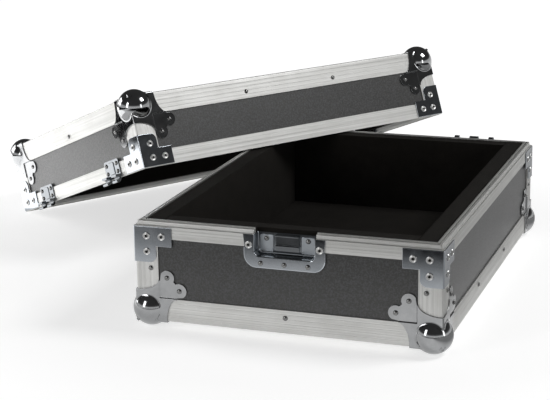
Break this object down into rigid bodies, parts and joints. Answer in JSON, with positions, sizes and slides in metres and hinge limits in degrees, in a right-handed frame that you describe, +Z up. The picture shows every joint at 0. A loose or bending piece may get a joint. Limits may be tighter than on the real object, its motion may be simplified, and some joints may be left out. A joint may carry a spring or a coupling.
{
  "type": "dj mixer flight case",
  "caption": "Hard transit case for a dj mixer: foam-lined base with ball corners and recessed latch, and its lift-off lid leaning over one rear corner.",
  "frame": {"origin": "middle of the underside of the base's floor panel; the base stands on its ball corners, 11.8 mm below", "axes": "+X along the base's short side, to the right as seen from its latch side; +Y along its long side, from the latch side to the hinge side; +Z up"},
  "size_m": [0.8217, 0.9256, 0.2441],
  "materials": {
    "aluminium": "satin, extruded",
    "laminate": "black textured laminate on plywood",
    "chrome_plate": "polished plating on steel",
    "zinc_plate": "bright zinc plating on pressed steel",
    "foam": "matt closed-cell foam"
  },
  "bodies": {
    "base": {"base_ball_corner_back_left": "chrome_plate", "base_ball_corner_back_right": "chrome_plate", "base_ball_corner_front_left": "chrome_plate", "base_ball_corner_front_right": "chrome_plate", "base_brace_back_left": "zinc_plate", "base_brace_back_right": "zinc_plate", "base_brace_front_left": "zinc_plate", "base_brace_front_right": "zinc_plate", "base_carcass": "laminate", "base_corner_angle_back_left": "aluminium", "base_corner_angle_back_right": "aluminium", "base_corner_angle_front_left": "aluminium", "base_corner_angle_front_right": "aluminium", "base_edge_back": "aluminium", "base_edge_front": "aluminium", "base_edge_left": "aluminium", "base_edge_right": "aluminium", "base_hinge_left": "zinc_plate", "base_hinge_right": "zinc_plate", "base_rim_back": "aluminium", "base_rim_front_left": "aluminium", "base_rim_front_right": "aluminium", "base_rim_left": "aluminium", "base_rim_right": "aluminium", "foam_floor": "foam", "foam_walls": "foam", "latch_keeper": "zinc_plate", "latch_keeper_dish": "zinc_plate"},
    "lid": {"latch_dish": "zinc_plate", "lid_ball_corner_back_left": "chrome_plate", "lid_ball_corner_back_right": "chrome_plate", "lid_ball_corner_front_left": "chrome_plate", "lid_ball_corner_front_right": "chrome_plate", "lid_brace_back_left": "zinc_plate", "lid_brace_back_right": "zinc_plate", "lid_brace_front_left": "zinc_plate", "lid_brace_front_right": "zinc_plate", "lid_carcass": "laminate", "lid_corner_angle_back_left": "aluminium", "lid_corner_angle_back_right": "aluminium", "lid_corner_angle_front_left": "aluminium", "lid_corner_angle_front_right": "aluminium", "lid_edge_back": "aluminium", "lid_edge_front": "aluminium", "lid_edge_left": "aluminium", "lid_edge_right": "aluminium", "lid_foam_lining": "foam", "lid_hinge_left": "zinc_plate", "lid_hinge_right": "zinc_plate", "lid_rim_back": "aluminium", "lid_rim_front_left": "aluminium", "lid_rim_front_right": "aluminium", "lid_rim_left": "aluminium", "lid_rim_right": "aluminium"},
    "latch_hub": {"latch_hub": "chrome_plate"},
    "latch_hook": {"latch_hook": "zinc_plate"},
    "latch_wing_left": {"latch_wing_left": "chrome_plate"},
    "latch_wing_right": {"latch_wing_right": "chrome_plate"}
  },
  "joints": [
    {"name": "lid_tip", "type": "hinge", "parent": "base", "child": "lid", "pos_m": [-0.42945, 0.39099, -0.01111], "axis": [-0.5642, -0.8256, 0], "range_deg": [0, 58]},
    {"name": "latch_turn", "type": "hinge", "parent": "lid", "child": "latch_hub", "pos_m": [-0.13377, 0.51752, 0.08697], "axis": [0.5642, 0.8256, 0], "range_deg": [0, 180]},
    {"name": "latch_hook_slide", "type": "slide", "parent": "lid", "child": "latch_hook", "axis": [0.2985, -0.204, -0.9324], "range_m": [0, 0.006]},
    {"name": "latch_wing_left_fold", "type": "hinge", "parent": "latch_hub", "child": "latch_wing_left", "pos_m": [-0.13113, 0.51741, 0.08783], "axis": [-0.2985, 0.204, 0.9324], "range_deg": [0, 90]},
    {"name": "latch_wing_right_fold", "type": "hinge", "parent": "latch_hub", "child": "latch_wing_right", "pos_m": [-0.13483, 0.51994, 0.0861], "axis": [0.2985, -0.204, -0.9324], "range_deg": [0, 90]}
  ],
  "couplings": [
    {"joint": "latch_hook_slide", "follows": "latch_turn", "m_per_rad": 0.0019099}
  ]
}
